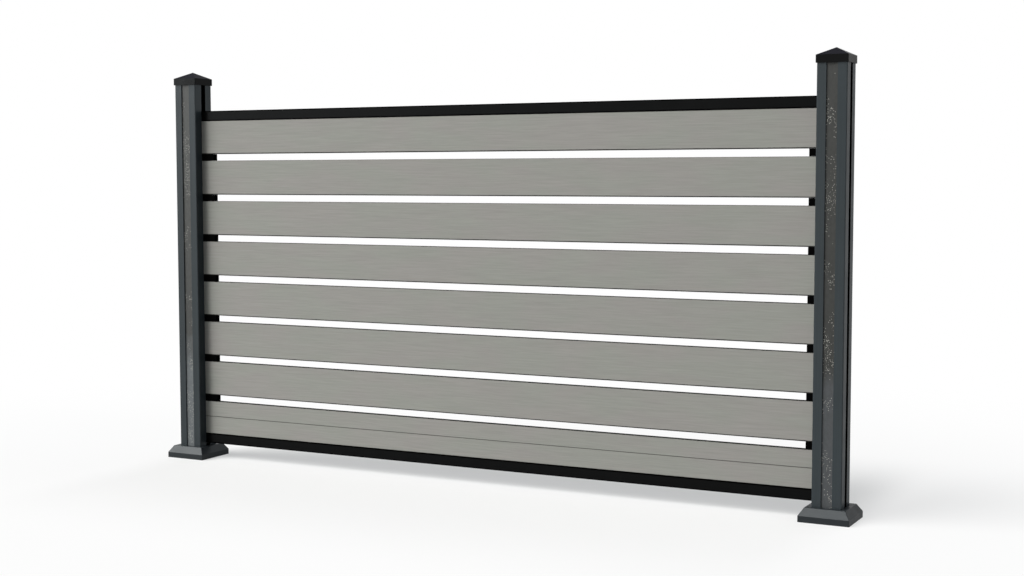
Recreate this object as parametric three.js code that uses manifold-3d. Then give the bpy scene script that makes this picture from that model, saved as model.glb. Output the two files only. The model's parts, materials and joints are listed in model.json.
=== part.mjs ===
// Garden privacy screen: one bay of eight hollow composite boards held between two grooved posts.
// Units are millimetres. X runs along the screen, -Y is the front, +Z is up.
// The origin lies on the ground, midway between the posts.

import * as THREE from 'three';
import { mergeVertices } from 'three/addons/utils/BufferGeometryUtils.js';
import Module from 'manifold-3d';

const wasm = await Module();
wasm.setup();

// ---------------------------------------------------------------- driving dimensions

const seat = 0.3;                  // gap kept between two pieces that rest on each other
const overrun = 2;                 // a cutting tool runs this far past the face it cuts
const mergeTolerance = 1e-4;       // points closer than this are one point

// Faceting of round stretches
const arcDivisions = 3;            // an arc in an outline gets twice as many straight pieces
const anchorArcDivisions = 8;      // the same for the anchor holes and the corners of their plate
const screwHoleSegments = 20;
const screwSegments = 16;

// Bay
const clearSpan = 1750;            // from post to post
const slatHeight = 93.9;           // a full board
const slatThickness = 16;
const slatGap = 18;                // open gap between two boards
const fullSlats = 7;               // full boards; the bottom one is made of two narrow boards
const slatPlay = 0.6;              // play on each side of a board in the post groove
const slatEngagement = 15;         // how far a board or rail runs into each post groove
const slatWall = 3.2;              // wall of a hollow board
const slatRib = 3;                 // rib between two chambers
const slatEdgeRadius = 1.2;
const chambersPerSlat = 4;
const chambersPerHalf = 2;
const lowerHalfHeight = 48;        // lower board of the bottom pair

// Tongue and groove, between the bottom pair and at the rails
const tongueWidth = 6;
const tongueHeight = 2.8;
const tongueClearance = 0.35;      // on each side of a tongue and above it
const outerSlatTrim = 2.9;         // the outer boards are this much lower than a full board

// Rails
const railHeight = 27.5;
const railThickness = 16;
const railWall = 1.8;
const railEdgeRadius = 0.8;
const railGroundClearance = 40.6;  // bottom rail above the ground

// Spacer blocks
const spacerLength = 46;
const spacerShowLeft = 39.5;       // visible length beside the left post
const spacerShowRight = 23;        // visible length beside the right post
const spacerThickness = 15.4;
const spacerWall = 2.4;

// Posts
const postSide = 70;
const postWall = 2;
const middleWall = 2.6;            // wall behind a cover strip, at the middle chamber
const postCornerRadius = 2.5;
const sideGrooveDepth = 24;
const stripShowWidth = 26;         // visible width of a cover strip
const stripThickness = 2.7;
const stripHold = 1;               // the lips of the post cover the strip by this much
const stripLipDepth = 2.6;         // thickness of those lips
const postHeight = 1048.3;

// Moulded caps and base covers
const mouldCornerRadius = 1.5;     // upright corners

// Caps
const capSide = 75;
const capSkirtHeight = 17.9;
const capSkirtPlay = 0.3;
const capRoof = 2.3;               // from the inner seat to the foot of the pyramid
const capPyramidHeight = 17.8;
const capHollowHalf = 15;          // half side of the hollow under the pyramid
const capHollowHeight = 7;
const capLegSide = 10;
const capLegLength = 30;
const capLegClearance = 0.5;

// Base covers
const coverSide = 120;
const coverBandHeight = 14.4;
const coverHeight = 32.2;
const coverRimSide = 96.4;         // where the slope ends and the flat rim begins
const coverWall = 2;
const coverPostPlay = 0.4;

// Post shoes
const shoePlateSide = 104;
const shoePlateThickness = 6;
const shoePlateCorner = 6;
const shoeHoleSpacing = 84;
const shoeHoleRadius = 5.5;
const spigotHeight = 150;
const spigotWall = 3;
const spigotClearance = 0.4;

// Brackets under the ends of the bottom rail, and the screws at the post foot
const bracketThickness = 3;
const bracketReach = 23;           // from the groove floor outwards
const bracketDrop = 30;            // height of the upright leg
const bracketPlay = 0.6;           // on each side in the groove
const screwHeight = 22;            // screw axis above the ground
const screwShankRadius = 2.4;
const screwHeadRadius = 4.6;
const screwHeadHeight = 2.6;
const screwHeadTopRadius = 2.8;    // flat top of the pan head
const screwHeadRimHeight = 1.2;    // upright rim of the pan head
const screwHoleClearance = 0.3;
const screwLength = 13;

// ---------------------------------------------------------------- derived places

const postHalf = postSide / 2;
const postCentre = clearSpan / 2 + postHalf;
const sideGrooveHalf = slatThickness / 2 + slatPlay;
const grooveFloor = postHalf - sideGrooveDepth;             // from the post's centre
const stripSlotDepth = stripLipDepth + stripThickness + 2 * seat;
const stripSlotHalf = stripShowWidth / 2 + stripHold;
const chamberX = grooveFloor - postWall;                    // half sides of the middle chamber
const chamberY = postHalf - stripSlotDepth - middleWall;
const postBottom = shoePlateThickness + seat;
const postTop = postBottom + postHeight;

const slatLength = clearSpan + 2 * slatEngagement;
const bottomRailTop = railGroundClearance + railHeight;
const outerSlatHeight = slatHeight - outerSlatTrim;
const lowerHalfBottom = bottomRailTop + seat;
const upperHalfBottom = lowerHalfBottom + lowerHalfHeight + seat;
const upperHalfHeight = outerSlatHeight - lowerHalfHeight - seat;
const slatPitch = slatHeight + slatGap;
const firstFullSlatBottom = lowerHalfBottom + outerSlatHeight + slatGap;
const topSlatBottom = firstFullSlatBottom + (fullSlats - 1) * slatPitch;
const topRailBottom = topSlatBottom + outerSlatHeight + seat;

// ---------------------------------------------------------------- materials

function finish(colour, roughness, metalness) {
  return new THREE.MeshStandardMaterial({ color: colour, roughness, metalness });
}

const anthracite = finish(0x3e4445, 0.5, 0.35);
const blackPlastic = finish(0x1b1b1d, 0.45, 0.0);
const coverPlastic = finish(0x4c5052, 0.55, 0.0);
const stripFinish = finish(0x4b4a46, 0.6, 0.0);
const composite = finish(0x94958f, 0.7, 0.0);
const blackRail = finish(0x161616, 0.5, 0.2);
const zincPlated = finish(0x9a9c9e, 0.4, 0.8);
const blackSteel = finish(0x141414, 0.5, 0.2);

// ---------------------------------------------------------------- solids

function positionsOnly(geometry) {
  const bare = geometry.clone();
  bare.deleteAttribute('normal');
  bare.deleteAttribute('uv');
  return mergeVertices(bare, mergeTolerance);
}

function toSolid(geometry) {
  const merged = positionsOnly(geometry);
  return new wasm.Manifold(new wasm.Mesh({
    numProp: 3,
    vertProperties: new Float32Array(merged.attributes.position.array),
    triVerts: new Uint32Array(merged.index.array),
  }));
}

function toGeometry(solid) {
  const mesh = solid.getMesh();
  const geometry = new THREE.BufferGeometry();
  geometry.setAttribute('position', new THREE.BufferAttribute(new Float32Array(mesh.vertProperties), 3));
  geometry.setIndex(new THREE.BufferAttribute(new Uint32Array(mesh.triVerts), 1));
  geometry.computeVertexNormals();
  return geometry;
}

function joined(geometries) {
  return toGeometry(geometries.map(toSolid).reduce((sum, solid) => sum.add(solid)));
}

function cut(geometry, tools) {
  return toGeometry(tools.map(toSolid).reduce((rest, tool) => rest.subtract(tool), toSolid(geometry)));
}

// The points of a closed outline, without those that lie on the one after them.
function distinct(points) {
  return points.filter((point, i) => point.distanceTo(points[(i + 1) % points.length]) > mergeTolerance);
}

function prism(points, depth) {
  return new THREE.ExtrudeGeometry(new THREE.Shape(distinct(points)), { depth, bevelEnabled: false });
}

// A shape pushed along +Z. Its holes become chambers that run right through.
function extruded(shape, length, divisions = arcDivisions) {
  const drawn = shape.extractPoints(divisions);
  const body = prism(drawn.shape, length);
  if (drawn.holes.length === 0) return body;
  const chambers = drawn.holes.map(
    (points) => prism(points, length + 2 * overrun).translate(0, 0, -overrun),
  );
  return cut(body, chambers);
}

// A profile drawn in (y, z) and pushed along +X by length, centred on x = 0.
function alongX(shape, length) {
  const basis = new THREE.Matrix4().makeBasis(
    new THREE.Vector3(0, 1, 0),
    new THREE.Vector3(0, 0, 1),
    new THREE.Vector3(1, 0, 0),
  );
  return extruded(shape, length).translate(0, 0, -length / 2).applyMatrix4(basis);
}

// A box from its size, its middle in x and y, and its foot in z.
function block(sizeX, sizeY, sizeZ, x, y, foot) {
  return new THREE.BoxGeometry(sizeX, sizeY, sizeZ).translate(x, y, foot + sizeZ / 2);
}

// A square turned shape: rows of [half side, height], standing on z = 0.
function squareLathe(rows) {
  const points = rows.map(([half, height]) => new THREE.Vector2(half * Math.SQRT2, height));
  return new THREE.LatheGeometry(points, 4, Math.PI / 4).rotateX(Math.PI / 2);
}

// The rod along X that cuts the screw hole at the foot of a post.
function screwHoleRod(length) {
  const radius = screwShankRadius + screwHoleClearance;
  const rod = new THREE.CylinderGeometry(radius, radius, length, screwHoleSegments);
  return rod.rotateZ(Math.PI / 2).translate(0, 0, screwHeight);
}

function polygon(points, Kind = THREE.Path) {
  const path = new Kind();
  path.setFromPoints(points.map(([a, b]) => new THREE.Vector2(a, b)));
  return path;
}

function rectangle(x0, y0, x1, y1, Kind = THREE.Path) {
  return polygon([[x0, y0], [x1, y0], [x1, y1], [x0, y1], [x0, y0]], Kind);
}

// ---------------------------------------------------------------- posts

// Notch in a post's face, as points [along the face, depth below it].
const sideGroove = [
  [-sideGrooveHalf, 0],
  [-sideGrooveHalf, sideGrooveDepth],
  [sideGrooveHalf, sideGrooveDepth],
  [sideGrooveHalf, 0],
];
const stripSlot = [
  [-stripShowWidth / 2, 0],
  [-stripShowWidth / 2, stripLipDepth],
  [-stripSlotHalf, stripLipDepth],
  [-stripSlotHalf, stripSlotDepth],
  [stripSlotHalf, stripSlotDepth],
  [stripSlotHalf, stripLipDepth],
  [stripShowWidth / 2, stripLipDepth],
  [stripShowWidth / 2, 0],
];

function postOutline() {
  const outline = new THREE.Shape();
  const quarter = Math.PI / 2;
  for (let side = 0; side < 4; side += 1) {
    const angle = side * quarter;
    const out = new THREE.Vector2(Math.cos(angle), Math.sin(angle));
    const along = new THREE.Vector2(-out.y, out.x);
    const place = (a, d) => out.clone().multiplyScalar(postHalf - d).addScaledVector(along, a);
    const notch = side % 2 === 0 ? sideGroove : stripSlot;
    notch.forEach(([a, d], i) => {
      const point = place(a, d);
      if (side === 0 && i === 0) outline.moveTo(point.x, point.y);
      else outline.lineTo(point.x, point.y);
    });
    const corner = place(postHalf - postCornerRadius, postCornerRadius);
    outline.absarc(corner.x, corner.y, postCornerRadius, angle, angle + quarter, false);
  }
  outline.closePath();
  return outline;
}

// The chamber in one corner of the post: it steps round the slot for the cover strip.
function cornerChamber(signX, signY) {
  const outer = postHalf - postWall;
  const nearSlot = stripSlotHalf + postWall;
  const nearGroove = sideGrooveHalf + postWall;
  const behindSlot = postHalf - stripSlotDepth - postWall;
  const points = [
    [grooveFloor, nearGroove],
    [outer, nearGroove],
    [outer, outer],
    [nearSlot, outer],
    [nearSlot, behindSlot],
    [grooveFloor, behindSlot],
    [grooveFloor, nearGroove],
  ];
  return polygon(points.map(([x, y]) => [signX * x, signY * y]));
}

function postGeometry() {
  const section = postOutline();
  section.holes.push(rectangle(-chamberX, -chamberY, chamberX, chamberY));
  for (const signX of [-1, 1]) {
    for (const signY of [-1, 1]) section.holes.push(cornerChamber(signX, signY));
  }
  const screwHole = screwHoleRod(2 * (grooveFloor + overrun));
  return cut(extruded(section, postHeight).translate(0, 0, postBottom), [screwHole]);
}

function stripGeometry() {
  const width = 2 * (stripSlotHalf - seat);
  return block(width, stripThickness, postHeight, 0, 0, postBottom);
}

// ---------------------------------------------------------------- caps, base covers and shoes

function roundedSquare(side, radius) {
  const half = side / 2;
  const shape = new THREE.Shape();
  shape.moveTo(half, -half + radius);
  [[1, 1], [-1, 1], [-1, -1], [1, -1]].forEach(([signX, signY], turn) => {
    const start = turn * Math.PI / 2;
    const end = start + Math.PI / 2;
    shape.absarc(signX * (half - radius), signY * (half - radius), radius, start, end, false);
  });
  shape.closePath();
  return shape;
}

// A convex body through level squares with rounded corners: rows of [half side, height], 0 for a tip.
function roundedBody(rows) {
  const points = rows.flatMap(([half, height]) => {
    if (half === 0) return [[0, 0, height]];
    const outline = roundedSquare(2 * half, mouldCornerRadius).extractPoints(arcDivisions).shape;
    return outline.map((point) => [point.x, point.y, height]);
  });
  return toGeometry(wasm.Manifold.hull(points));
}

function capGeometry() {
  const half = capSide / 2;
  const inner = postHalf + capSkirtPlay;
  const seatHeight = capSkirtHeight - capRoof;
  const hollow = squareLathe([
    [0, seatHeight + capHollowHeight],
    [0, -overrun],
    [inner, -overrun],
    [inner, seatHeight],
    [capHollowHalf, seatHeight],
    [0, seatHeight + capHollowHeight],
  ]);
  const body = roundedBody([[half, 0], [half, capSkirtHeight], [0, capSkirtHeight + capPyramidHeight]]);
  const legMiddle = postHalf - postWall - capLegClearance - capLegSide / 2;
  const legs = [];
  for (const signX of [-1, 1]) {
    for (const signY of [-1, 1]) {
      const foot = seatHeight - capLegLength;
      const length = capLegLength + capRoof / 2;
      legs.push(block(capLegSide, capLegSide, length, signX * legMiddle, signY * legMiddle, foot));
    }
  }
  return joined([cut(body, [hollow]), ...legs]).translate(0, 0, postTop + seat - seatHeight);
}

function coverGeometry() {
  const half = coverSide / 2;
  const rim = coverRimSide / 2;
  const opening = postHalf + coverPostPlay;
  const hollow = squareLathe([
    [0, coverHeight + overrun],
    [0, -overrun],
    [half - coverWall, -overrun],
    [half - coverWall, coverBandHeight - coverWall / 2],
    [rim - coverWall / 2, coverHeight - coverWall],
    [opening, coverHeight - coverWall],
    [opening, coverHeight + overrun],
    [0, coverHeight + overrun],
  ]);
  return cut(roundedBody([[half, 0], [half, coverBandHeight], [rim, coverHeight]]), [hollow]);
}

function shoeGeometry() {
  const plate = roundedSquare(shoePlateSide, shoePlateCorner);
  for (const signX of [-1, 1]) {
    for (const signY of [-1, 1]) {
      const hole = new THREE.Path();
      const middle = shoeHoleSpacing / 2;
      hole.absarc(signX * middle, signY * middle, shoeHoleRadius, 0, 2 * Math.PI, true);
      plate.holes.push(hole);
    }
  }
  const outerX = chamberX - spigotClearance;
  const outerY = chamberY - spigotClearance;
  const tube = rectangle(-outerX, -outerY, outerX, outerY, THREE.Shape);
  const innerX = outerX - spigotWall;
  const innerY = outerY - spigotWall;
  tube.holes.push(rectangle(-innerX, -innerY, innerX, innerY));
  const tubeFoot = shoePlateThickness / 2;
  const solid = joined([
    extruded(plate, shoePlateThickness, anchorArcDivisions),
    extruded(tube, spigotHeight + shoePlateThickness - tubeFoot).translate(0, 0, tubeFoot),
  ]);
  return cut(solid, [screwHoleRod(2 * chamberX)]);
}

// ---------------------------------------------------------------- boards and rails

// Rounded board edge profile in (y, z), standing on z = 0.
// bottom and top say what the edge carries: 'plain', 'tongue' or 'groove'.
function boardOutline(thickness, height, radius, bottom, top) {
  const half = thickness / 2;
  const tongue = tongueWidth / 2;
  const slot = tongue + tongueClearance;
  const slotDepth = tongueHeight + tongueClearance;
  const shape = new THREE.Shape();
  const detail = { plain: null, tongue: [tongue, tongueHeight], groove: [slot, -slotDepth] };
  const edge = (kind, z, outwards) => {
    if (!detail[kind]) return;
    const [halfWidth, reach] = detail[kind];
    const tip = z + outwards * reach;
    const from = outwards < 0 ? -halfWidth : halfWidth;
    shape.lineTo(from, z);
    shape.lineTo(from, tip);
    shape.lineTo(-from, tip);
    shape.lineTo(-from, z);
  };
  shape.moveTo(-half + radius, 0);
  edge(bottom, 0, -1);
  shape.absarc(half - radius, radius, radius, -Math.PI / 2, 0, false);
  shape.absarc(half - radius, height - radius, radius, 0, Math.PI / 2, false);
  edge(top, height, 1);
  shape.absarc(-half + radius, height - radius, radius, Math.PI / 2, Math.PI, false);
  shape.absarc(-half + radius, radius, radius, Math.PI, 1.5 * Math.PI, false);
  return shape;
}

// How far the solid edge of a board reaches inwards, so that a groove keeps its wall.
function edgeWall(kind, wall) {
  return kind === 'groove' ? tongueHeight + tongueClearance + wall : wall;
}

function boardGeometry({ thickness, height, radius, wall, rib, chambers, bottom, top }) {
  const outline = boardOutline(thickness, height, radius, bottom, top);
  const low = edgeWall(bottom, wall);
  const high = height - edgeWall(top, wall);
  const chamberHeight = (high - low - (chambers - 1) * rib) / chambers;
  const halfWidth = thickness / 2 - wall;
  for (let i = 0; i < chambers; i += 1) {
    const foot = low + i * (chamberHeight + rib);
    outline.holes.push(rectangle(-halfWidth, foot, halfWidth, foot + chamberHeight));
  }
  return alongX(outline, slatLength);
}

function slatGeometry(height, chambers, bottom, top) {
  return boardGeometry({
    thickness: slatThickness,
    height,
    radius: slatEdgeRadius,
    wall: slatWall,
    rib: slatRib,
    chambers,
    bottom,
    top,
  });
}

function railGeometry(bottom, top) {
  return boardGeometry({
    thickness: railThickness,
    height: railHeight,
    radius: railEdgeRadius,
    wall: railWall,
    rib: railWall,
    chambers: 1,
    bottom,
    top,
  });
}

// A hollow block with a rib in the middle, the size of the gap.
function spacerGeometry() {
  const height = slatGap - 2 * seat;
  const half = spacerThickness / 2;
  const profile = rectangle(-half, 0, half, height, THREE.Shape);
  for (const side of [-1, 1]) {
    const inner = side * spacerWall / 2;
    const outer = side * (half - spacerWall);
    profile.holes.push(rectangle(inner, spacerWall, outer, height - spacerWall));
  }
  return alongX(profile, spacerLength);
}

// ---------------------------------------------------------------- brackets and screws

// The right-angled bracket for the left post: upright on the groove floor, shelf towards +X.
function bracketGeometry() {
  const shelf = railGroundClearance - seat;
  const profile = polygon([
    [0, shelf],
    [0, shelf - bracketDrop],
    [bracketThickness, shelf - bracketDrop],
    [bracketThickness, shelf - bracketThickness],
    [bracketReach, shelf - bracketThickness],
    [bracketReach, shelf],
    [0, shelf],
  ], THREE.Shape);
  const width = 2 * (sideGrooveHalf - bracketPlay);
  const solid = extruded(profile, width).rotateX(Math.PI / 2).translate(seat, width / 2, 0);
  return cut(solid, [screwHoleRod(2 * (bracketThickness + overrun))]);
}

// Pan head screw along X: its head's underside lies on x = 0 and the shank points to -X.
function screwGeometry() {
  const points = [
    [0, screwHeadHeight],
    [screwHeadTopRadius, screwHeadHeight],
    [screwHeadRadius, screwHeadRimHeight],
    [screwHeadRadius, 0],
    [screwShankRadius, 0],
    [screwShankRadius, -screwLength + screwShankRadius],
    [0, -screwLength],
  ];
  const profile = points.reverse().map(([radius, height]) => new THREE.Vector2(radius, height));
  return new THREE.LatheGeometry(profile, screwSegments).rotateZ(-Math.PI / 2);
}

// ---------------------------------------------------------------- assembly

const screen = new THREE.Group();

function add(parent, name, geometry, material, x = 0, y = 0, z = 0) {
  const mesh = new THREE.Mesh(geometry, material);
  mesh.name = name;
  mesh.position.set(x, y, z);
  parent.add(mesh);
  return mesh;
}

function addScrew(parent, name, x, direction) {
  const screw = add(parent, name, screwGeometry(), zincPlated, x, 0, screwHeight);
  screw.rotation.z = direction > 0 ? 0 : Math.PI;
}

// inward is +1 where the bay lies towards +X of the post and -1 where it lies towards -X.
function addPost(side, inward) {
  const stand = new THREE.Group();
  stand.position.x = -inward * postCentre;
  screen.add(stand);
  add(stand, `${side}_post`, postGeometry(), anthracite);
  add(stand, `${side}_post_cap`, capGeometry(), blackPlastic);
  add(stand, `${side}_base_cover`, coverGeometry(), coverPlastic);
  add(stand, `${side}_post_shoe`, shoeGeometry(), zincPlated);
  const stripMiddle = postHalf - stripLipDepth - seat - stripThickness / 2;
  add(stand, `${side}_front_strip`, stripGeometry(), stripFinish, 0, -stripMiddle, 0);
  add(stand, `${side}_back_strip`, stripGeometry(), stripFinish, 0, stripMiddle, 0);
  const bracket = add(stand, `${side}_rail_bracket`, bracketGeometry(), blackSteel, inward * grooveFloor);
  bracket.rotation.z = inward > 0 ? 0 : Math.PI;
  const bracketFace = grooveFloor + seat + bracketThickness;
  addScrew(stand, `${side}_inner_screw`, inward * (bracketFace + seat), inward);
  addScrew(stand, `${side}_outer_screw`, -inward * (grooveFloor + seat), -inward);
}

addPost('left', 1);
addPost('right', -1);

add(screen, 'bottom_rail', railGeometry('plain', 'groove'), blackRail, 0, 0, railGroundClearance);
add(screen, 'top_rail', railGeometry('groove', 'plain'), blackRail, 0, 0, topRailBottom);

add(screen, 'slat_8_lower', slatGeometry(lowerHalfHeight, chambersPerHalf, 'tongue', 'tongue'), composite,
  0, 0, lowerHalfBottom);
add(screen, 'slat_8_upper', slatGeometry(upperHalfHeight, chambersPerHalf, 'groove', 'plain'), composite,
  0, 0, upperHalfBottom);

for (let number = 1; number <= fullSlats; number += 1) {
  const bottom = firstFullSlatBottom + (fullSlats - number) * slatPitch;
  const isTop = number === 1;
  const height = isTop ? outerSlatHeight : slatHeight;
  add(screen, `slat_${number}`, slatGeometry(height, chambersPerSlat, 'plain', isTop ? 'tongue' : 'plain'),
    composite, 0, 0, bottom);
  const spacerFoot = bottom - slatGap + seat;
  const leftMiddle = -clearSpan / 2 + spacerShowLeft - spacerLength / 2;
  const rightMiddle = clearSpan / 2 - spacerShowRight + spacerLength / 2;
  add(screen, `spacer_left_${number}`, spacerGeometry(), blackPlastic, leftMiddle, 0, spacerFoot);
  add(screen, `spacer_right_${number}`, spacerGeometry(), blackPlastic, rightMiddle, 0, spacerFoot);
}

export default screen;
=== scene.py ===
"""Garden privacy screen: finishes, light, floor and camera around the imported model."""
import json
import math

import bpy
from mathutils import Matrix, Vector


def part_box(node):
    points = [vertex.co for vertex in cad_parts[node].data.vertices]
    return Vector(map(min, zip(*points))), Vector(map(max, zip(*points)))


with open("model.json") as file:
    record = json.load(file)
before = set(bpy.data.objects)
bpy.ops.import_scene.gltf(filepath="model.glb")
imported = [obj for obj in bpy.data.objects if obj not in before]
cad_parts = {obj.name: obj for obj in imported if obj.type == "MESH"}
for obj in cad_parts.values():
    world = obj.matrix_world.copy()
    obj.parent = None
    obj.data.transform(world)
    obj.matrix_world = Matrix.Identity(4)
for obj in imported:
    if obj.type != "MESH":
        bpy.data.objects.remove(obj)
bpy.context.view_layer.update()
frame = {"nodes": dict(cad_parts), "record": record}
NODES = frame["nodes"]

# ---------------------------------------------------------------- camera

IMAGE_WIDTH_PX = 1024
SENSOR_WIDTH = 36.0
FOCAL_PX = 1552.55
CAMERA_PLACE = Vector((1.8747, -3.4587, 0.7848))
CAMERA_YAW = math.radians(27.31)      # turned from +Y towards -X
CAMERA_PITCH = math.radians(-4.09)
CAMERA_ROLL = math.radians(-0.06)
CAMERA_CLIP_END = 200.0
MATRIX_SIZE = 4                       # of a turn that can be joined with a place


def add_camera():
    data = bpy.data.cameras.new("camera")
    data.sensor_width = SENSOR_WIDTH
    data.lens = FOCAL_PX / IMAGE_WIDTH_PX * SENSOR_WIDTH
    data.clip_end = CAMERA_CLIP_END
    camera = bpy.data.objects.new("camera", data)
    bpy.context.scene.collection.objects.link(camera)
    turn = Matrix.Rotation(CAMERA_YAW, MATRIX_SIZE, "Z")
    tilt = Matrix.Rotation(math.pi / 2 + CAMERA_PITCH, MATRIX_SIZE, "X")
    roll = Matrix.Rotation(CAMERA_ROLL, MATRIX_SIZE, "Z")
    camera.matrix_world = Matrix.Translation(CAMERA_PLACE) @ turn @ tilt @ roll
    bpy.context.scene.camera = camera


# ---------------------------------------------------------------- colours

DISPLAY_MAX = 255
SRGB_STRAIGHT_END = 0.04045        # the sRGB curve is straight up to here
SRGB_STRAIGHT_SLOPE = 12.92
SRGB_OFFSET = 0.055
SRGB_POWER = 2.4


def srgb(red, green, blue):
    """A colour from its 0 to 255 display values."""
    def linear(value):
        value /= DISPLAY_MAX
        if value <= SRGB_STRAIGHT_END:
            return value / SRGB_STRAIGHT_SLOPE
        return ((value + SRGB_OFFSET) / (1 + SRGB_OFFSET)) ** SRGB_POWER
    return (linear(red), linear(green), linear(blue), 1.0)


def even(level):
    """A colourless grey of a linear level."""
    return (level, level, level, 1.0)


# ---------------------------------------------------------------- node helpers

NOISE_LOW = 0.3                    # a noise runs between these for nearly all its area
NOISE_HIGH = 0.7


class Nodes:
    """A short way to build a node tree."""

    def __init__(self, tree):
        self.tree = tree

    def new(self, kind, **settings):
        node = self.tree.nodes.new(kind)
        for key, value in settings.items():
            setattr(node, key, value)
        return node

    def link(self, source, target):
        self.tree.links.new(source, target)

    def feed(self, socket, source):
        """Link an output to the socket, or set the socket to a plain value."""
        if isinstance(source, bpy.types.NodeSocket):
            self.link(source, socket)
        else:
            socket.default_value = source

    def coordinate(self, kind):
        return self.new("ShaderNodeTexCoord").outputs[kind]

    def axes(self, vector):
        node = self.new("ShaderNodeSeparateXYZ")
        self.link(vector, node.inputs["Vector"])
        return node.outputs["X"], node.outputs["Y"], node.outputs["Z"]

    def looking_up(self):
        """How much a face looks up: 1 straight up, 0 upright, -1 straight down."""
        _, _, up = self.axes(self.coordinate("Normal"))
        return up

    def scaled(self, vector, scale):
        node = self.new("ShaderNodeMapping")
        self.link(vector, node.inputs["Vector"])
        node.inputs["Scale"].default_value = scale
        return node.outputs["Vector"]

    def noise(self, vector, scale=1.0, detail=3.0, roughness=0.5, output="Fac"):
        node = self.new("ShaderNodeTexNoise")
        self.link(vector, node.inputs["Vector"])
        node.inputs["Scale"].default_value = scale
        node.inputs["Detail"].default_value = detail
        node.inputs["Roughness"].default_value = roughness
        return node.outputs[output]

    def remap(self, source, start, end, to_start, to_end, smooth=False):
        node = self.new("ShaderNodeMapRange")
        if smooth:
            node.interpolation_type = "SMOOTHSTEP"
        self.link(source, node.inputs["Value"])
        self.feed(node.inputs["From Min"], start)
        self.feed(node.inputs["From Max"], end)
        self.feed(node.inputs["To Min"], to_start)
        self.feed(node.inputs["To Max"], to_end)
        return node.outputs["Result"]

    def varied(self, noise, low, high):
        """A noise stretched to run from low to high."""
        return self.remap(noise, NOISE_LOW, NOISE_HIGH, low, high)

    def kept(self, factor, share):
        """1 where the factor is 0, and the share where it is 1."""
        return self.remap(factor, 0.0, 1.0, 1.0, share)

    def math(self, operation, first, second=0.0):
        node = self.new("ShaderNodeMath", operation=operation)
        self.feed(node.inputs[0], first)
        self.feed(node.inputs[1], second)
        return node.outputs["Value"]

    def apart(self, value, middle):
        """How far a value is from the middle, either way."""
        return self.math("ABSOLUTE", self.math("SUBTRACT", value, middle))

    def vector_math(self, operation, first, second=None):
        node = self.new("ShaderNodeVectorMath", operation=operation)
        self.feed(node.inputs[0], first)
        if second is not None:
            self.feed(node.inputs[1], second)
        return node

    def blend(self, factor, first, second):
        node = self.new("ShaderNodeMix", data_type="RGBA")
        self.feed(node.inputs["Factor"], factor)
        self.feed(node.inputs["A"], first)
        self.feed(node.inputs["B"], second)
        return node.outputs["Result"]

    def dimmed(self, colour, level):
        """A colour times a level."""
        node = self.vector_math("SCALE", colour[:3] if isinstance(colour, tuple) else colour)
        self.link(level, node.inputs["Scale"])
        return node.outputs["Vector"]

    def bump(self, height, strength, distance):
        node = self.new("ShaderNodeBump")
        self.link(height, node.inputs["Height"])
        node.inputs["Strength"].default_value = strength
        node.inputs["Distance"].default_value = distance
        return node.outputs["Normal"]

    def mixed(self, factor, first, second):
        node = self.new("ShaderNodeMixShader")
        self.feed(node.inputs["Fac"], factor)
        self.link(first, node.inputs[1])
        self.link(second, node.inputs[2])
        return node.outputs["Shader"]

    def shows_background(self):
        """1 for a ray from the camera, from a gloss or through something clear, and 0 for light."""
        path = self.new("ShaderNodeLightPath").outputs
        mirrored = self.math("MAXIMUM", path["Is Glossy Ray"], path["Is Transmission Ray"])
        return self.math("MAXIMUM", path["Is Camera Ray"], mirrored)


# ---------------------------------------------------------------- coatings and moulded plastic

GRAZING_START = 0.25               # Layer Weight's facing value where the gloss begins to fade
GRAZING_END = 0.5
GLOSS_TINT = (0.93, 0.98, 1.0, 1.0)
CLOUD_NOISE = (22.0, 4.0, 0.6)     # each noise: scale, detail, roughness
ROUGHNESS_SPREAD = 0.04
MOTTLE = 0.06                      # most that the clouds lighten or darken a plain finish
GRAIN_NOISE = (900.0, 2.0)
GRAIN_BUMP = (0.35, 0.00003)       # each bump: strength, depth


class Finish(Nodes):
    """A material for one slot, with its sockets by name."""

    def __init__(self, name):
        self.material = bpy.data.materials.new(name)
        self.material.use_nodes = True
        super().__init__(self.material.node_tree)
        self.shader = self.tree.nodes["Principled BSDF"]
        self.place = self.coordinate("Object")

    def put(self, name, source):
        self.feed(self.shader.inputs[name], source)

    def stretched(self, stretch, *settings, **named):
        """A noise over the object, with a scale of its own along each axis."""
        return self.noise(self.scaled(self.place, stretch), *settings, **named)

    def gloss(self, front, grazing):
        """A specular level that fades towards a grazing view, as on a fine-grained coating."""
        facing = self.new("ShaderNodeLayerWeight").outputs["Facing"]
        return self.remap(facing, GRAZING_START, GRAZING_END, front, grazing)

    def grain(self, roughness):
        """Fine grain and cloudy roughness. Returns the clouds."""
        clouds = self.noise(self.place, *CLOUD_NOISE)
        spread = (roughness - ROUGHNESS_SPREAD, roughness + ROUGHNESS_SPREAD)
        self.put("Roughness", self.varied(clouds, *spread))
        self.put("Specular Tint", GLOSS_TINT)
        self.put("Normal", self.bump(self.noise(self.place, *GRAIN_NOISE), *GRAIN_BUMP))
        return clouds


def plain_material(name, colour, roughness, gloss):
    """One colour, slightly mottled."""
    finish = Finish(name)
    level = finish.varied(finish.grain(roughness), 1.0 - MOTTLE, 1.0 + MOTTLE)
    finish.put("Base Color", finish.dimmed(colour, level))
    finish.put("Specular IOR Level", finish.gloss(*gloss))
    return finish.material


# ---------------------------------------------------------------- posts

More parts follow.
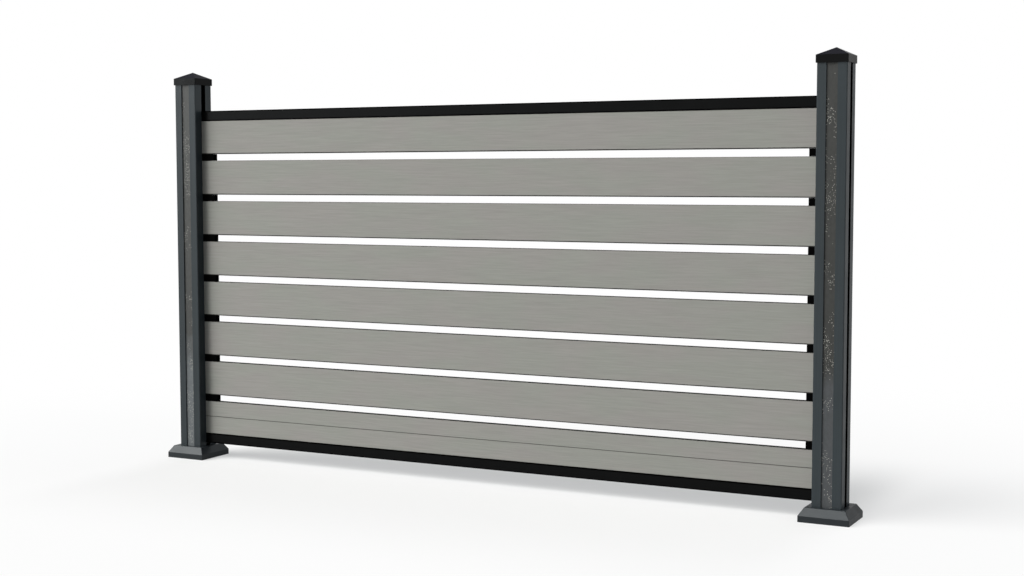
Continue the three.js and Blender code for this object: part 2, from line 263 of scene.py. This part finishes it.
POST_COLOUR = srgb(47, 53, 56)
POST_ROUGHNESS = 0.34
POST_GLOSS = (0.22, 0.04)          # each gloss: from the front, at a grazing view
POST_STREAKS = (260.0, 260.0, 3.0)
POST_STREAK_NOISE = (1.0, 2.0, 0.6)
POST_STREAK_LEVELS = (0.94, 1.06)
POST_CLOUD_SCALE = 9.0
POST_CLOUD_LEVELS = (-0.05, 0.05)
POST_GROOVE_HALF = 0.0087          # half width of the black stretch in the middle of a post's side faces
GROOVE_PAINTED_SHADE = srgb(4, 4, 5)


def post_material():
    """Anthracite coating with faint upright streaks; the side grooves are painted black inside as
    painted shade.
    """
    finish = Finish("post")
    finish.grain(POST_ROUGHNESS)
    streaks = finish.varied(finish.stretched(POST_STREAKS, *POST_STREAK_NOISE), *POST_STREAK_LEVELS)
    clouds = finish.varied(finish.noise(finish.place, POST_CLOUD_SCALE), *POST_CLOUD_LEVELS)
    coating = finish.dimmed(POST_COLOUR, finish.math("ADD", streaks, clouds))
    _, across, _ = finish.axes(finish.place)
    # painted shade: the inside of each side groove is black and has no gloss
    groove_shade = finish.math("LESS_THAN", finish.math("ABSOLUTE", across), POST_GROOVE_HALF)
    finish.put("Base Color", finish.blend(groove_shade, coating, GROOVE_PAINTED_SHADE))
    outside = finish.math("SUBTRACT", 1.0, groove_shade)
    finish.put("Specular IOR Level", finish.math("MULTIPLY", finish.gloss(*POST_GLOSS), outside))
    return finish.material


# ---------------------------------------------------------------- caps

CAP_COLOUR = srgb(14, 14, 14)
CAP_ROUGHNESS = 0.24
CAP_GLOSS = (0.075, 0.02)
# painted light: the upward faces are lighter and bluer, as if lit by the sky above
CAP_SLOPE_PAINTED_LIGHT = srgb(31, 31, 37)
CAP_SLOPE_GLOSS = 0.1              # what a face that looks up keeps of the gloss
CAP_SLOPE_UP = 0.9                 # a face that looks up this much or more counts fully as a slope


def cap_material():
    """Smooth black plastic, duller on the pyramid, and painted lighter and bluer there as painted light
    from above.
    """
    finish = Finish("cap")
    finish.grain(CAP_ROUGHNESS)
    slope = finish.remap(finish.looking_up(), 0.0, CAP_SLOPE_UP, 0.0, 1.0)
    finish.put("Base Color", finish.blend(slope, CAP_COLOUR, CAP_SLOPE_PAINTED_LIGHT))
    dull = finish.kept(slope, CAP_SLOPE_GLOSS)
    finish.put("Specular IOR Level", finish.math("MULTIPLY", finish.gloss(*CAP_GLOSS), dull))
    return finish.material


# ---------------------------------------------------------------- cover strips

STRIP_ROUGHNESS = 0.38
STRIP_GLOSS = (0.25, 0.05)
# Colours above and below the turn, on the left and on the right post; the left post's are lighter as
# painted light.
STRIP_HIGH = (srgb(74, 74, 72), srgb(58, 58, 56))
STRIP_LOW = (srgb(108, 112, 114), srgb(77, 79, 81))
STRIP_TURN = 0.31                  # height at which a strip turns from blue-grey to brown-grey
STRIP_BLEND = 0.03                 # the turn takes this much above and below, and drifts as far
STRIP_DRIFT_SCALE = 14.0           # of the noise that moves the turn up and down
# Two heights, and the colour's level below the first and above the second.
STRIP_RISE = (0.4, 0.9, 0.87, 1.0)
STRIP_MOTTLE = (1.0, 1.0, 0.5)
STRIP_MOTTLE_NOISE = (160.0, 4.0, 0.7)
STRIP_MOTTLE_LEVELS = (0.86, 1.14)

SPECK_COLOUR = srgb(215, 214, 205)
SPECK_CELLS = (450.0, 450.0, 340.0)
SPECK_EDGE = (0.2, 0.4)            # a speck ends between these distances from its middle
SPECK_FAINTEST = 0.25              # against the brightest
SPECK_CLUSTERS = (1.0, 1.0, 0.4)
SPECK_CLUSTER_NOISE = (38.0, 2.0, 0.6)
SPECK_CLUSTER_RANGE = (0.52, 0.66)  # cluster noise at which there are no specks, and the most
SPECK_DENSITY = 0.6                # share of the cells that hold a speck, where there are the most
# Middle height and half height of the stretches that have more specks.
SPECK_ZONES = ((0.87, 0.08), (0.735, 0.04), (0.45, 0.05), (0.27, 0.03), (0.14, 0.035))
SPECK_ZONE_WEIGHT = 0.11           # what a zone's middle adds to the cluster noise


def speck_mask(finish, height):
    """Small dots of uneven brightness, gathered in clusters and at the zones' heights."""
    cluster = finish.stretched(SPECK_CLUSTERS, *SPECK_CLUSTER_NOISE)
    for middle, half in SPECK_ZONES:
        zone = finish.remap(finish.apart(height, middle), 0.0, half, SPECK_ZONE_WEIGHT, 0.0)
        cluster = finish.math("ADD", cluster, zone)
    density = finish.remap(cluster, *SPECK_CLUSTER_RANGE, 0.0, SPECK_DENSITY)
    cells = finish.new("ShaderNodeTexVoronoi")
    finish.link(finish.scaled(finish.place, SPECK_CELLS), cells.inputs["Vector"])
    cells.inputs["Scale"].default_value = 1.0
    dot = finish.remap(cells.outputs["Distance"], *SPECK_EDGE, 1.0, 0.0)
    chance, bright, _ = finish.axes(cells.outputs["Color"])
    dot = finish.math("MULTIPLY", dot, finish.math("LESS_THAN", chance, density))
    return finish.math("MULTIPLY", dot, finish.remap(bright, 0.0, 1.0, SPECK_FAINTEST, 1.0))


def strip_material():
    """Weathered: blue-grey near the ground, brown-grey above, mottled, with light specks in clusters;
    painted lighter on the left post than on the right as painted light.
    """
    finish = Finish("cover_strip")
    finish.grain(STRIP_ROUGHNESS)
    along, _, height = finish.axes(finish.place)
    on_right = finish.math("GREATER_THAN", along, 0.0)
    drift = finish.varied(finish.noise(finish.place, STRIP_DRIFT_SCALE), -STRIP_BLEND, STRIP_BLEND)
    turn = (STRIP_TURN - STRIP_BLEND, STRIP_TURN + STRIP_BLEND)
    low = finish.remap(finish.math("ADD", height, drift), *turn, 1.0, 0.0)
    # painted light: the strip on the left post is lighter than on the right
    base = finish.blend(low, finish.blend(on_right, *STRIP_HIGH), finish.blend(on_right, *STRIP_LOW))
    mottle = finish.varied(finish.stretched(STRIP_MOTTLE, *STRIP_MOTTLE_NOISE), *STRIP_MOTTLE_LEVELS)
    level = finish.math("MULTIPLY", mottle, finish.remap(height, *STRIP_RISE))
    specks = speck_mask(finish, height)
    finish.put("Base Color", finish.blend(specks, finish.dimmed(base, level), SPECK_COLOUR))
    finish.put("Specular IOR Level", finish.gloss(*STRIP_GLOSS))
    return finish.material


# ---------------------------------------------------------------- boards

BOARD_GREY = srgb(149, 150, 144)
BOARD_WARM = srgb(151, 149, 145)
BOARD_DRIFT = (5.0, 1.0, 14.0)     # the boards drift from the one to the other
BOARD_DRIFT_DETAIL = 2.0
BOARD_DRIFT_RANGE = (0.4, 0.6)
BOARD_PAINTED_FALLOFF = 0.085                 # share by which the boards are painted darker at the right end, as painted shade where the light falls off
BOARD_HALF_LENGTH = 0.875
BOARD_ROUGHNESS = 0.6
BOARD_GLOSS = 0.12
BOARD_BUMP = (0.3, 0.0002)

WAVE = (7.0, 7.0, 25.0)
WAVE_HEIGHT = (0.0, 0.0, 0.006)    # the strokes wave up and down by this at most
FINE_STROKES = (22.0, 60.0, 900.0)
FINE_ROUGHNESS = 0.65
BROAD_STROKES = (9.0, 20.0, 300.0)
BROAD_ROUGHNESS = 0.6
STROKE_SHARE = 0.5                 # the fine and the broad strokes count half each
STROKE_RANGE = (0.35, 0.65)
STROKE_LEVELS = (0.92, 1.08)

EDGE_PAINTED_SHADE = 0.12               # what the narrow faces keep of the colour under their painted shade
EDGE_UP = 0.35                     # a face that looks up more than this is a narrow face
EDGE_DOWN = -0.25                  # and so is one that looks down more than this
BOARD_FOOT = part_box("slat_7")[0].z
BOARD_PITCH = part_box("slat_6")[0].z - BOARD_FOOT
SHADOW_LINE_HEIGHT = 0.0028               # of the painted shadow line along the foot of a board's face
SHADOW_LINE_START = 0.0002                # the line begins this far under the board
CLOSED_JOINTS = (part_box("bottom_rail")[1].z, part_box("slat_8_upper")[0].z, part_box("top_rail")[0].z)
JOINT_REACH = 0.0025               # this far above and below a closed joint the painted shadow line is fainter
JOINT_SHARE = 0.6                  # what it keeps there


def board_strokes(finish):
    """Brushed grain: fine strokes along the board that wave a little."""
    wave = finish.vector_math("MULTIPLY_ADD", finish.stretched(WAVE, output="Color"), WAVE_HEIGHT)
    finish.link(finish.place, wave.inputs[2])
    bent = wave.outputs["Vector"]
    fine = finish.noise(finish.scaled(bent, FINE_STROKES), roughness=FINE_ROUGHNESS)
    broad = finish.noise(finish.scaled(bent, BROAD_STROKES), roughness=BROAD_ROUGHNESS)
    return finish.math("MULTIPLY", finish.math("ADD", fine, broad), STROKE_SHARE)


def board_painted_shade(finish, height):
    """Painted shade: 1 on the narrow faces and on the shadow line along a board's foot, and less at
    closed joints.
    """
    up = finish.looking_up()
    top = finish.math("GREATER_THAN", up, EDGE_UP)
    underside = finish.math("LESS_THAN", up, EDGE_DOWN)
    edges = finish.math("MAXIMUM", top, underside)
    from_foot = finish.math("SUBTRACT", height, BOARD_FOOT - SHADOW_LINE_START)
    rise = finish.math("FRACT", finish.math("DIVIDE", from_foot, BOARD_PITCH))
    edges = finish.math("MAXIMUM", edges, finish.math("LESS_THAN", rise, SHADOW_LINE_HEIGHT / BOARD_PITCH))
    for joint in CLOSED_JOINTS:
        near = finish.math("LESS_THAN", finish.apart(height, joint), JOINT_REACH)
        edges = finish.math("MULTIPLY", edges, finish.kept(near, JOINT_SHARE))
    return edges


def board_material():
    """Brushed composite, with painted shade on the narrow faces and along each board's foot, and painted
    darker towards the right end as painted shade.
    """
    finish = Finish("board")
    strokes = board_strokes(finish)
    drift = finish.stretched(BOARD_DRIFT, detail=BOARD_DRIFT_DETAIL)
    grey = finish.blend(finish.remap(drift, *BOARD_DRIFT_RANGE, 0.0, 1.0), BOARD_GREY, BOARD_WARM)
    along, _, height = finish.axes(finish.place)
    # painted shade: darker towards the right end
    fade = finish.remap(along, -BOARD_HALF_LENGTH, BOARD_HALF_LENGTH, 1.0, 1.0 - BOARD_PAINTED_FALLOFF)
    shade = finish.math("MULTIPLY", finish.remap(strokes, *STROKE_RANGE, *STROKE_LEVELS), fade)
    edges = board_painted_shade(finish, height)
    # painted shade on the narrow faces and along each board's foot
    shade = finish.math("MULTIPLY", shade, finish.kept(edges, EDGE_PAINTED_SHADE))
    finish.put("Base Color", finish.dimmed(grey, shade))
    finish.put("Roughness", BOARD_ROUGHNESS)
    finish.put("Specular IOR Level", finish.remap(edges, 0.0, 1.0, BOARD_GLOSS, 0.0))
    finish.put("Normal", finish.bump(strokes, *BOARD_BUMP))
    return finish.material


# ---------------------------------------------------------------- base covers

# painted light: the same plastic, with the slopes lighter as if lit from above
COVER_BAND_SHADED = srgb(28, 32, 35)
COVER_SLOPE_LIT = srgb(40, 44, 47)
COVER_ROUGHNESS = 0.36
COVER_GLOSS = (0.27, 0.05)
COVER_SLOPE_UP = 0.3               # a face that looks up more than this is a slope


def cover_material():
    """Grained plastic, painted darker on the upright band than on the slopes as painted light from
    above.
    """
    finish = Finish("base_cover")
    finish.grain(COVER_ROUGHNESS)
    slope = finish.math("GREATER_THAN", finish.looking_up(), COVER_SLOPE_UP)
    finish.put("Base Color", finish.blend(slope, COVER_BAND_SHADED, COVER_SLOPE_LIT))
    finish.put("Specular IOR Level", finish.gloss(*COVER_GLOSS))
    return finish.material


# ---------------------------------------------------------------- rails

RAIL_COLOUR = srgb(8, 8, 8)
RAIL_PAINTED_SHADOW = srgb(1, 1, 1)
RAIL_ROUGHNESS = 0.34
RAIL_GLOSS = (0.055, 0.01)
RAIL_SHADOW_LINE = 0.0028                 # height of the painted shadow line along the upper and the lower edge
RAIL_FOOT, RAIL_TOP = (corner.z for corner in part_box("bottom_rail"))
RAIL_HALF = (RAIL_TOP - RAIL_FOOT) / 2
RAIL_MIDDLES = (RAIL_FOOT + RAIL_HALF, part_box("top_rail")[0].z + RAIL_HALF)


def rail_material():
    """Black coating, with painted shadow lines along the upper and lower edges: blacker there and
    without gloss.
    """
    finish = Finish("rail")
    finish.grain(RAIL_ROUGHNESS)
    _, _, height = finish.axes(finish.place)
    away = [finish.apart(height, middle) for middle in RAIL_MIDDLES]
    # painted shadow: near-black bands along the rails' upper and lower edges
    inside = finish.math("LESS_THAN", finish.math("MINIMUM", *away), RAIL_HALF - RAIL_SHADOW_LINE)
    finish.put("Base Color", finish.blend(inside, RAIL_PAINTED_SHADOW, RAIL_COLOUR))
    finish.put("Specular IOR Level", finish.math("MULTIPLY", finish.gloss(*RAIL_GLOSS), inside))
    return finish.material


# ---------------------------------------------------------------- a finish for each slot

# Colour, roughness and gloss.
PLAIN_FINISHES = {
    "spacer": (srgb(4, 4, 4), 0.7, (0.01, 0.0)),
    "bracket": (srgb(12, 12, 12), 0.5, (0.05, 0.01)),
    "steel": (srgb(150, 152, 155), 0.35, (0.5, 0.2)),
}
FINISHES = {
    "post": post_material,
    "cap": cap_material,
    "base_cover": cover_material,
    "cover_strip": strip_material,
    "rail": rail_material,
    "board": board_material,
}


def material_for(slot):
    if slot in PLAIN_FINISHES:
        return plain_material(slot, *PLAIN_FINISHES[slot])
    return FINISHES[slot]()


def dress_nodes():
    slots = {part["node"]: part["material_slot"] for part in frame["record"]["subparts"]}
    made = {}
    for name, node in NODES.items():
        slot = slots[name]
        if slot not in made:
            made[slot] = material_for(slot)
        node.data.materials.clear()
        node.data.materials.append(made[slot])


# ---------------------------------------------------------------- floor

FLOOR_HALF = 30.0
FLOOR_SEEN = 0.82                  # the lit floor's colour for the camera
FLOOR_BOUNCE = 0.33                # and for the light that it throws back
FLOOR_WHITE_NEAR = 0.4             # white share under the screen; the lit rest holds the shadow
FLOOR_WHITE_BESIDE = 0.71          # and beside it
FLOOR_WHITE_AWAY = 0.85            # and well in front of it and behind it
FLOOR_BESIDE = (0.85, 1.02)        # distances along the screen between which the share turns
FLOOR_AWAY = (0.3, 0.9)            # and distances across it
FLOOR_FADE = (1.1, 2.6)            # distances from the middle between which the floor turns plain white


def add_floor():
    bpy.ops.mesh.primitive_plane_add(size=2 * FLOOR_HALF, location=(0.0, 0.0, 0.0))
    floor = bpy.context.object
    floor.name = "floor"
    finish = Finish("floor")
    finish.tree.nodes.remove(finish.shader)
    lit = finish.new("ShaderNodeBsdfDiffuse")
    lit.inputs["Color"].default_value = even(FLOOR_SEEN)
    white = finish.new("ShaderNodeEmission")
    reach = finish.vector_math("LENGTH", finish.place).outputs["Value"]
    along, across, _ = finish.axes(finish.place)
    beside = finish.math("ABSOLUTE", along)
    away = finish.math("ABSOLUTE", across)
    # painted shade: with less white share near the screen, even the lit floor there is darker than
    # further out
    near = finish.remap(beside, *FLOOR_BESIDE, FLOOR_WHITE_NEAR, FLOOR_WHITE_BESIDE, smooth=True)
    near = finish.remap(away, *FLOOR_AWAY, near, FLOOR_WHITE_AWAY, smooth=True)
    share = finish.remap(reach, *FLOOR_FADE, near, 1.0, smooth=True)
    seen = finish.mixed(share, lit.outputs["BSDF"], white.outputs["Emission"])
    bounce = finish.new("ShaderNodeBsdfDiffuse")
    bounce.inputs["Color"].default_value = even(FLOOR_BOUNCE)
    surface = finish.mixed(finish.shows_background(), bounce.outputs["BSDF"], seen)
    finish.link(surface, finish.tree.nodes["Material Output"].inputs["Surface"])
    floor.data.materials.append(finish.material)


# ---------------------------------------------------------------- world and lights

SKY_DIM = 0.2                      # light from the front and from overhead
SKY_BRIGHT = 1.8                   # light from near the horizon behind the screen, to the right
SKY_TURN = math.radians(30)        # from straight behind towards the right
SKY_BEHIND = 0.7                   # the sky is brightest from this cosine to that direction upwards
SKY_LOW = (0.1, 0.7)               # the bright part ends between these sines of the elevation
SKY_COLOUR = (0.9, 0.96, 1.0, 1.0)

KEY_AZIMUTH = math.radians(49)     # from the front towards the left
KEY_ELEVATION = math.radians(38)
KEY_ANGLE = math.radians(50)
KEY_STRENGTH = 4.08
KEY_COLOUR = (1.0, 0.99, 0.97)

SIDE_AZIMUTH = math.radians(39)    # a small low light that the left post's front mirrors
SIDE_ELEVATION = math.radians(8)
SIDE_ANGLE = math.radians(14)
SIDE_STRENGTH = 0.3
SIDE_COLOUR = (0.97, 0.99, 1.0)


def add_world():
    """White where it is seen; as a light, dim in front and overhead and brighter low behind."""
    world = bpy.data.worlds.new("world")
    bpy.context.scene.world = world
    world.use_nodes = True
    nodes = Nodes(world.node_tree)
    view = nodes.coordinate("Generated")
    brightest = (math.sin(SKY_TURN), math.cos(SKY_TURN), 0.0)
    ahead = nodes.vector_math("DOT_PRODUCT", view, brightest).outputs["Value"]
    _, _, up = nodes.axes(view)
    behind = nodes.remap(ahead, 0.0, SKY_BEHIND, 0.0, SKY_BRIGHT - SKY_DIM, smooth=True)
    low = nodes.remap(up, *SKY_LOW, 1.0, 0.0, smooth=True)
    light = nodes.tree.nodes["Background"]
    light.inputs["Color"].default_value = SKY_COLOUR
    nodes.link(nodes.math("ADD", nodes.math("MULTIPLY", behind, low), SKY_DIM), light.inputs["Strength"])
    white = nodes.new("ShaderNodeBackground")
    white.inputs["Color"].default_value = even(1.0)
    seen = nodes.shows_background()
    surface = nodes.mixed(seen, light.outputs["Background"], white.outputs["Background"])
    nodes.link(surface, nodes.tree.nodes["World Output"].inputs["Surface"])


def add_sun(name, azimuth, elevation, angle, strength, colour):
    """A distant soft light; its azimuth is counted from the front towards the left."""
    data = bpy.data.lights.new(name, "SUN")
    data.energy = strength
    data.color = colour
    data.angle = angle
    lamp = bpy.data.objects.new(name, data)
    bpy.context.scene.collection.objects.link(lamp)
    level = math.cos(elevation)
    towards = Vector((-math.sin(azimuth) * level, -math.cos(azimuth) * level, math.sin(elevation)))
    lamp.rotation_euler = towards.to_track_quat("Z", "Y").to_euler()


add_camera()
dress_nodes()
add_floor()
add_world()
add_sun("key", KEY_AZIMUTH, KEY_ELEVATION, KEY_ANGLE, KEY_STRENGTH, KEY_COLOUR)
add_sun("side", SIDE_AZIMUTH, SIDE_ELEVATION, SIDE_ANGLE, SIDE_STRENGTH, SIDE_COLOUR)

bpy.context.scene.view_settings.view_transform = "Standard"
